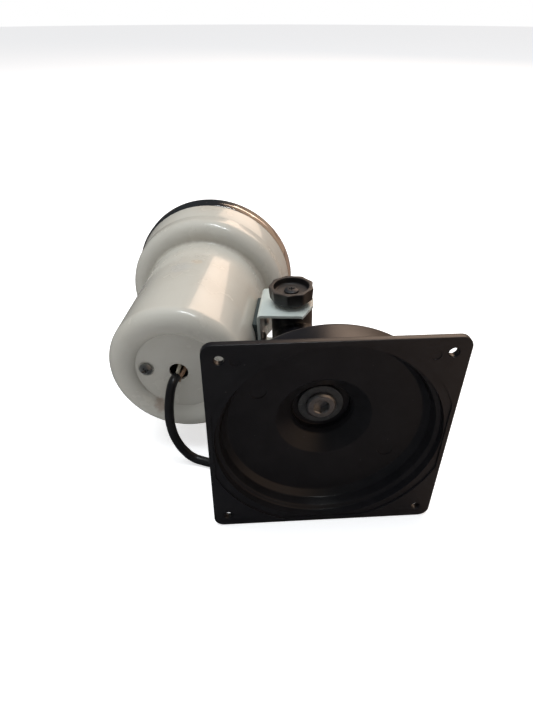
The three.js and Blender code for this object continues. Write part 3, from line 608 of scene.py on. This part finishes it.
def cross_recess(top, width, slot_width, depth):
    """The cutter of a cross recess in a screw whose head is at `top` on Y and faces -Y."""
    arms = []
    for turn in (0, 90):
        arm = box((-width / 2, -1, -slot_width / 2), (width / 2, depth, slot_width / 2))
        bmesh.ops.scale(arm, vec=(0.35, 1, 0.7), verts=[v for v in arm.verts if v.co.y > 0])
        arms.append(placed(arm, Matrix.Rotation(math.radians(turn), 4, "Y"), Matrix.Translation((0, top, 0))))
    return arms


facing_up = Matrix.Rotation(math.radians(-90), 4, "X")
cap_screw = spun(rounded([
    (0, 0, 0), (2.8, 0.05, 2), (4.55, 0.7, 0.5), (4.55, 1.7, 0.2), (1.5, 1.7, 0), (1.5, 9.3, 0), (0, 9.3, 0),
], closed=False), 48, closed=False)
cap_screw = carved(cap_screw, *cross_recess(0.05, 5.0, 1.1, 1.5))
blackened = surface("blackened_screw", head_place, {
    "Colour": (0.045, 0.047, 0.052), "Patch colour": (0.085, 0.08, 0.078), "Patch size": 1.6,
    "Speck colour": (0.15, 0.12, 0.1), "Speck spacing": 1.2, "Speck size": 0.15,
    "Scratch amount": 0.4, "Grain size": 0.3, "Grain depth": 0.02, "Roughness": 0.42,
    "Roughness spread": 0.2}, 0.6)[0]
placed(cap_screw, facing_up, Matrix.Translation((0, 0, knob_top - 4.1 + 1.9)))
finished(cap_screw, "knob_cap_screw", head_place, "knob", ["knob_screw"], blackened)
refinish("clamp_stud", zinc)

# ---------------------------------------------------------------- tilt bracket
# A strip of 1.8 mm steel bent into a U and enamelled pale grey-green. Its ears clamp the neck's
# eye, and its back is screwed to the barrel through a rubber pad, whose dark teal colour is painted
# shade for the gap between bracket and barrel.

sheet = 1.8
web_x = -20.6
ear_z = 18.5 + sheet / 2
ear_half = 17.8
ear_shape = [(6.6, -ear_half), (7.6, -ear_half - 0.7), (12.2, -8), (13.8, -4), (13.8, 4),
             (12.2, 8), (7.2, ear_half)]
strip = bmesh.new()
back = [strip.verts.new((web_x + sheet / 2, y, z)) for y, z in (
    (-ear_half, -ear_z), (ear_half, -ear_z), (ear_half, ear_z), (-ear_half, ear_z))]
strip.faces.new(back)
for z, root in ((-ear_z, back[:2]), (ear_z, [back[3], back[2]])):
    tips = [strip.verts.new((x, y, z)) for x, y in ear_shape]
    strip.faces.new([root[0], *tips, root[1]])
bmesh.ops.recalc_face_normals(strip, faces=strip.faces)
bends = [e for e in strip.edges if len(e.link_faces) == 2]
rounding(strip, bends, 2.0, 6)
strip = worked(strip, ("SOLIDIFY", {"thickness": sheet, "offset": 0, "use_even_offset": True}))
stud_hole = placed(spun([(0, -30), (4.5, -30), (4.5, 30), (0, 30)], 40, closed=False), upright)
bracket_screw_ys = (-10, 10)
across = Matrix.Rotation(math.radians(90), 4, "Z")
screw_holes = [placed(spun([(0, -5), (2.3, -5), (2.3, 5), (0, 5)], 24, closed=False), across,
                      Matrix.Translation((web_x, y, 0))) for y in bracket_screw_ys]
strip = carved(strip, stud_hole, *screw_holes)
strip = worked(strip, ("BEVEL", {
    "width": 0.22, "segments": 2, "limit_method": "ANGLE", "angle_limit": math.radians(50)}))
bracket_green = surface("bracket_enamel", head_place, {
    "Colour": (0.55, 0.60, 0.56), "Patch colour": (0.50, 0.55, 0.52), "Patch size": 9.0,
    "Patch amount": 0.7, "Speck colour": (0.06, 0.05, 0.04), "Speck spacing": 6.0, "Speck size": 0.06,
    "Scratch colour": (0.36, 0.38, 0.36), "Scratch amount": 0.25, "Grain size": 1.1,
    "Grain depth": 0.02, "Roughness": 0.32, "Roughness spread": 0.1}, Coat_weight=0.3)[0]
finished(strip, "bent_bracket", head_place, "head", ["tilt_bracket"], bracket_green)

# The pad is coloured dark teal as painted shade for the gap between bracket and barrel.
pad_rubber_and_gap_shade = surface("pad_rubber_and_gap_shade", head_place, {
    "Colour": (0.030, 0.045, 0.045), "Patch colour": (0.055, 0.07, 0.068), "Patch size": 4.0,
    "Speck colour": (0.12, 0.12, 0.11), "Speck spacing": 3.0, "Speck size": 0.1,
    "Grain size": 0.5, "Grain depth": 0.03, "Roughness": 0.65})[0]
refinish("bracket_pad", pad_rubber_and_gap_shade)
for node in ("knob_washer", "clamp_nut", "bracket_screw_rear", "bracket_screw_front",
             "bracket_nut_rear", "bracket_nut_front"):
    refinish(node, zinc)

# ---------------------------------------------------------------- can
# Drawn from one sheet of steel and stove-enamelled cream: a rear disc set in a rolled shoulder, a
# slightly tapered barrel, and a round bell. Small chips mark it. Painted shade lies low on the rear and
# in the throat of the bell, and painted grey and warm reflections lie on top of the barrel.

can_place = head_place @ Matrix.Translation((-64.6, -49, 0))
wall = 1.6
cable_hole_r = 5.7
shoulder_r, shoulder_y, shoulder_round = 33.9, 4.1, 8.8
barrel_end_r, bell_back_y = 43, 90.7
bell_r, bell_y, bell_round = 56.4, 106.7, 10
rear_screws = {"left": (-19.5, 1.5), "right": (19.5, -1.5)}


def can_skin(inset):
    """The can's outline, set in from its outer face."""
    turn_in = 180 + math.degrees(math.asin((shoulder_y - inset) / (shoulder_round - inset)))
    shoulder = []
    for k in range(25):
        a = math.radians(turn_in + (360 - turn_in) * k / 24)
        shoulder.append(Vector((shoulder_r + (shoulder_round - inset) * math.cos(a),
                                shoulder_y + (shoulder_round - inset) * math.sin(a))))
    bell = rounded([
        (barrel_end_r - inset, bell_back_y - 12, 0), (barrel_end_r - inset, bell_back_y + inset, 2.2 + inset),
        (bell_r - inset, bell_back_y + inset, bell_round - inset), (bell_r - inset, bell_y - 0.4, 0),
    ], closed=False, steps=14)
    return [Vector((cable_hole_r, inset)), *shoulder, *bell]


can = spun([*can_skin(0), *reversed(can_skin(wall))], 160)
screw_wells = []
for x, z in rear_screws.values():
    well = spun(rounded([
        (0, -1, 0), (5.5, -1, 0), (4.7, 0.4, 0.3), (2.4, 0.4, 0), (2.4, 4, 0), (0, 4, 0),
    ], closed=False), 40, closed=False)
    screw_wells.append(placed(well, Matrix.Translation((x, 0, z))))
side_holes = [placed(spun([(0, -10), (2.4, -10), (2.4, 10), (0, 10)], 24, closed=False), across,
                     Matrix.Translation((64.6 + web_x, y + 49, 0))) for y in bracket_screw_ys]
can = carved(can, *screw_wells, *side_holes)
cream = (0.60, 0.575, 0.505)
enamel_wear = {
    "Colour": cream, "Patch colour": (0.57, 0.535, 0.46), "Patch size": 28.0, "Patch amount": 0.7,
    "Speck colour": (0.035, 0.028, 0.022), "Speck spacing": 13.0, "Speck size": 0.05,
    "Scratch colour": (0.56, 0.54, 0.48), "Scratch amount": 0.18, "Grain size": 2.2,
    "Grain depth": 0.03, "Roughness": 0.26, "Roughness spread": 0.08}
enamel, tree, point, skin, shader, bump = surface(
    "stoved_enamel", can_place, enamel_wear, Coat_weight=0.6, Coat_roughness=0.06)


def chip_and_painted_light(tree, point, base, centre, reach, colour, strength, ragged=0.35):
    """A soft-edged mark of one colour around a place on the piece."""
    away = put(tree, "VectorMath", {0: point, 1: centre}, operation="SUBTRACT").outputs[0]
    shrunk = put(tree, "VectorMath", {0: away, 1: reach}, operation="DIVIDE").outputs[0]
    distance = put(tree, "VectorMath", {0: shrunk}, operation="LENGTH").outputs["Value"]
    noise = put(tree, "TexNoise", {"Vector": point, "Scale": 0.35, "Detail": 5.0}).outputs["Fac"]
    drift = maths(tree, "MULTIPLY", maths(tree, "SUBTRACT", noise, 0.5), ragged * 4)
    shaken = maths(tree, "ADD", distance, drift)
    mask = ramp(tree, shaken, 1.0, 0.35, 0.0, strength)
    return mixed(tree, mask, base, opaque(colour))


colour = skin.outputs["Colour"]
# Painted shade, brown and tan, low on the rear disc and shoulder, below and left of the cord hole.
colour = chip_and_painted_light(tree, point, colour, (-15, -1, -25), (4.5, 8, 7), (0.30, 0.20, 0.145), 0.55)
colour = chip_and_painted_light(tree, point, colour, (-8, -1, -14), (3.5, 6, 9), (0.50, 0.42, 0.33), 0.25)
# Painted reflections on top of the barrel: grey left of the top line, warm tan right of it.
colour = chip_and_painted_light(tree, point, colour, (-5, 52, 43), (9, 9, 9), (0.50, 0.49, 0.46), 0.45)
colour = chip_and_painted_light(tree, point, colour, (4, 60, 42), (5, 4, 6), (0.60, 0.47, 0.33), 0.4)
colour = chip_and_painted_light(tree, point, colour, (3, 97, 52), (1.2, 1.0, 3), (0.20, 0.19, 0.18), 0.8)
spot = put(tree, "SeparateXYZ", {0: point})
radius = put(tree, "VectorMath", {0: put(tree, "CombineXYZ", {
    0: spot.outputs[0], 1: spot.outputs[2]}).outputs[0]}, operation="LENGTH").outputs["Value"]
# Painted shade in the concave throat where the barrel meets the bell, made patchy by noise.
shade_noise = put(tree, "TexNoise", {"Vector": point, "Scale": 0.4, "Detail": 6.0}).outputs["Fac"]
painted_throat_shade = maths(tree, "MULTIPLY", ramp(tree, spot.outputs[1], bell_back_y - 5, bell_back_y - 0.4),
               ramp(tree, radius, barrel_end_r + 4.5, barrel_end_r + 0.4))
painted_throat_shade = maths(tree, "MULTIPLY", painted_throat_shade, ramp(tree, shade_noise, 0.3, 0.7, 0.1, 0.4))
colour = mixed(tree, painted_throat_shade, colour, opaque((0.36, 0.31, 0.24)))
tree.links.new(colour, shader.inputs["Base Color"])
finished(can, "drawn_can", can_place, "head", ["housing"], enamel)

# ---------------------------------------------------------------- front collar
# A flared steel collar, enamelled with the can, that plugs into the bell. A fine dark joint is
# left between the two.

collar = spun(rounded([
    (52.4, 100.7, 0.3), (54.5, 100.7, 0.3), (54.5, 107.1, 0), (56, 107.1, 0.4), (58.4, 121.2, 0.5),
    (56.8, 121.2, 0), (56.8, 128.1, 0.3), (52.4, 128.1, 0.3)]), 160)
collar_enamel = surface("collar_enamel", can_place, {**enamel_wear, "Patch colour": (0.58, 0.53, 0.45)},
                        Coat_weight=0.6, Coat_roughness=0.06)[0]
finished(collar, "flared_collar", can_place, "head", ["front_collar"], collar_enamel)

# ---------------------------------------------------------------- front ring
# A pressed and chromed rim, rolled over at the mouth.

ring = spun(rounded([
    (57.1, 121.5, 0.1), (58.5, 121.5, 0.5), (59.6, 124.4, 2), (59.6, 134.2, 3.2), (52, 133.6, 0.9),
    (51.8, 130.8, 0.3), (57.1, 130.8, 0.3)]), 192)
chrome = surface("chrome_plate", can_place, {
    "Colour": (0.80, 0.80, 0.81), "Patch colour": (0.66, 0.65, 0.64), "Patch size": 9.0,
    "Patch amount": 0.5, "Speck colour": (0.18, 0.13, 0.09), "Speck spacing": 4.0, "Speck size": 0.07,
    "Scratch colour": (0.62, 0.62, 0.62), "Scratch amount": 0.3, "Grain size": 6.0,
    "Grain depth": 0.05, "Roughness": 0.10, "Roughness spread": 0.08}, 1.0)[0]
finished(ring, "chrome_rim", can_place, "head", ["front_ring"], chrome)

# ---------------------------------------------------------------- front grille
# A flat black plastic grille with two rings of slots, held behind the rim.

spokes = bmesh.new()
hoops = [spokes.verts.new((r, 128.4, 0)) for r in (0, 5, 14, 24.5, 28, 36.5, 45, 56.4)]
spans = [spokes.edges.new(pair) for pair in zip(hoops, hoops[1:])]
bmesh.ops.spin(spokes, geom=hoops + spans, axis=(0, 1, 0), cent=(0, 0, 0), angle=math.tau, steps=72,
               use_merge=True)
bmesh.ops.remove_doubles(spokes, verts=spokes.verts, dist=1e-4)
open_faces = []
for face in spokes.faces:
    middle = face.calc_center_median()
    r, turn = math.hypot(middle.x, middle.z), math.degrees(math.atan2(middle.z, middle.x)) % 360
    in_slot = (14 < r < 24.5 and 7.5 < turn % 60 < 52.5) or (28 < r < 45 and 5 < turn % 30 < 25)
    if in_slot:
        open_faces.append(face)
bmesh.ops.delete(spokes, geom=open_faces, context="FACES")
bmesh.ops.recalc_face_normals(spokes, faces=spokes.faces)
grille = worked(spokes, ("SOLIDIFY", {"thickness": 2.0, "offset": 0}),
                ("BEVEL", {"width": 0.4, "segments": 2, "limit_method": "ANGLE",
                           "angle_limit": math.radians(50)}))
placed(grille, Matrix.Translation((0, 1.0, 0)))
grille_moulding = surface("grille_moulding", can_place, {
    "Colour": (0.012, 0.012, 0.013), "Patch colour": (0.02, 0.02, 0.02), "Patch size": 10.0,
    "Speck colour": (0.10, 0.09, 0.08), "Speck spacing": 3.0, "Speck size": 0.08,
    "Scratch amount": 0.2, "Grain size": 0.5, "Grain depth": 0.015, "Roughness": 0.4})[0]
finished(grille, "slotted_grille", can_place, "head", ["front_grille"], grille_moulding)

# ---------------------------------------------------------------- rear screws
# Two zinc-plated pan-head screws with cross recesses hold the motor's rear bracket.

screw_zinc = surface("screw_zinc", can_place, {**zinc_wear, "Colour": (0.46, 0.48, 0.47)}, 0.9)[0]
for place_name, (x, z) in rear_screws.items():
    fixing = spun(rounded([
        (0, -2.6, 0), (2.2, -2.5, 2), (4.1, -1.4, 0.9), (4.2, -0.3, 0.15), (2, -0.3, 0),
        (2, 9, 0.3), (0, 9, 0),
    ], closed=False), 48, closed=False)
    fixing = carved(fixing, *cross_recess(-2.5, 6.2, 1.2, 1.8))
    placed(fixing, Matrix.Rotation(math.radians(-22), 4, "Y"), Matrix.Translation((x, 0, z)))
    finished(fixing, f"pan_screw_{place_name}", can_place, "head", [f"rear_screw_{place_name}"],
             screw_zinc)

# ---------------------------------------------------------------- leads
# The flex's two cores, cream and tan, bare of their sheath where they pass through the hole to the
# terminal block.

ivory = surface("ivory_insulation", can_place, {
    "Colour": (0.68, 0.62, 0.48), "Patch colour": (0.55, 0.48, 0.35), "Patch size": 3.0,
    "Speck colour": (0.1, 0.08, 0.06), "Speck spacing": 1.5, "Speck size": 0.1,
    "Grain size": 0.5, "Grain depth": 0.01, "Roughness": 0.4})[0]
tan = surface("tan_insulation", can_place, {
    "Colour": (0.36, 0.22, 0.13), "Patch colour": (0.26, 0.15, 0.09), "Patch size": 3.0,
    "Speck size": 0.0, "Grain size": 0.5, "Grain depth": 0.01, "Roughness": 0.45})[0]
cores = {
    "cream_core": (ivory, [
        (-1.9, -3.4, -4.6), (-1.3, -1.0, -2.6), (-0.6, 1.4, -0.2), (0.2, 4.2, 2.6), (0.6, 5.6, 8),
        (0.6, 5.8, 17.2)]),
    "tan_core": (tan, [
        (-0.2, -3.0, -5.2), (0.6, -0.8, -3.2), (2.4, 1.6, -1.4), (3.6, 4.2, 1.4), (3.4, 5.4, 8),
        (3.2, 5.6, 17.2)]),
}
for name, (insulation, route) in cores.items():
    core = smooth_tube(name, [(can_place @ Vector(p)) / MM for p in route], 2.3, insulation)
    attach(core, "head")
    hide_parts("inner_lead")
refinish("terminal_block", ivory)
refinish("cable_clamp", zinc)

# ---------------------------------------------------------------- motor and siren rotor
# A series motor between two cast brackets turns a vaned aluminium rotor behind a slotted plate.

cast_aluminium = surface("cast_aluminium", can_place, {
    "Colour": (0.56, 0.57, 0.58), "Patch colour": (0.44, 0.44, 0.44), "Patch size": 5.0,
    "Speck colour": (0.2, 0.19, 0.18), "Speck spacing": 1.8, "Speck size": 0.12,
    "Scratch colour": (0.7, 0.7, 0.7), "Scratch amount": 0.3, "Grain size": 0.5,
    "Grain depth": 0.05, "Roughness": 0.42, "Roughness spread": 0.15}, 1.0)[0]
laminations = surface("varnished_laminations", can_place, {
    "Colour": (0.17, 0.18, 0.19), "Patch colour": (0.23, 0.17, 0.12), "Patch size": 6.0,
    "Speck colour": (0.1, 0.06, 0.04), "Speck spacing": 2.0, "Speck size": 0.1,
    "Grain size": 0.5, "Grain depth": 0.03, "Roughness": 0.4}, 0.8)[0]
copper = surface("enamelled_copper", can_place, {
    "Colour": (0.42, 0.14, 0.05), "Patch colour": (0.30, 0.09, 0.035), "Patch size": 2.0,
    "Speck size": 0.0, "Scratch amount": 0.2, "Grain size": 0.4, "Grain depth": 0.15,
    "Roughness": 0.3, "Roughness spread": 0.15}, 0.9)[0]
carbon = surface("brush_carbon", can_place, {
    "Colour": (0.02, 0.02, 0.021), "Patch colour": (0.045, 0.044, 0.044), "Patch size": 1.0,
    "Speck size": 0.0, "Grain size": 0.2, "Grain depth": 0.04, "Roughness": 0.6}, 0.2)[0]
bronze = surface("sintered_bronze", can_place, {
    "Colour": (0.33, 0.21, 0.09), "Patch colour": (0.22, 0.13, 0.06), "Patch size": 1.5,
    "Speck colour": (0.05, 0.03, 0.02), "Speck spacing": 0.6, "Speck size": 0.3,
    "Grain size": 0.25, "Grain depth": 0.04, "Roughness": 0.45}, 1.0)[0]
inner_finishes = {
    cast_aluminium: ["stator_plate", "siren_rotor", "motor_rear_bracket", "motor_front_bracket"],
    laminations: ["field_core", "armature_core"],
    copper: ["field_coil_1", "field_coil_2", "winding_head_rear", "winding_head_front", "commutator"],
    carbon: ["brush_1", "brush_2"],
    bronze: ["bearing_rear", "bearing_front"],
    brass: ["brush_holder_1", "brush_holder_2"],
    zinc: ["brush_spring_1", "brush_spring_2", "tie_bolt_1", "tie_bolt_2", "rotor_shaft",
           "rotor_washer", "rotor_nut"],
}
for material, nodes in inner_finishes.items():
    for node in nodes:
        refinish(node, material)

# ---------------------------------------------------------------- plug
# A moulded two-pin plug lies beside the coil.

plug_rubber = surface("plug_moulding", base_place, {
    "Colour": (0.014, 0.014, 0.014), "Patch colour": (0.024, 0.023, 0.022), "Patch size": 8.0,
    "Speck colour": (0.08, 0.075, 0.07), "Speck spacing": 3.0, "Speck size": 0.08,
    "Scratch amount": 0.3, "Grain size": 0.5, "Grain depth": 0.02, "Roughness": 0.45})[0]
plug = box((-7.5, 0, -6.8), (7.5, 27, 6.8))
long_edges = [e for e in plug.edges if abs(e.verts[0].co.y - e.verts[1].co.y) > 1]
bmesh.ops.subdivide_edges(plug, edges=long_edges, cuts=6)
for corner in plug.verts:
    waist = 1 - 0.22 * math.exp(-((corner.co.y - 6) / 7) ** 2)
    corner.co.x *= waist
    corner.co.z *= waist
plug = worked(plug, ("BEVEL", {"width": 1.6, "segments": 3, "limit_method": "ANGLE",
                               "angle_limit": math.radians(50)}))
plug_place = base_place @ Matrix.Translation((plug_middle[0], 106, plug_middle[1]))
plug_piece = finished(plug, "moulded_plug", plug_place, "head", ["plug_body"], plug_rubber)
for number, x in ((1, -3.4), (2, 3.4)):
    pin_side = rounded([(0, 27.3, 0), (1.5, 27.3, 0), (1.5, 37, 1.0), (0, 37, 0)], closed=False)
    pin = spun(pin_side, 32, closed=False)
    placed(pin, Matrix.Translation((x, 0, 0)))
    finished(pin, f"brass_pin_{number}", plug_place, "head", [f"plug_pin_{number}"],
                         brass)
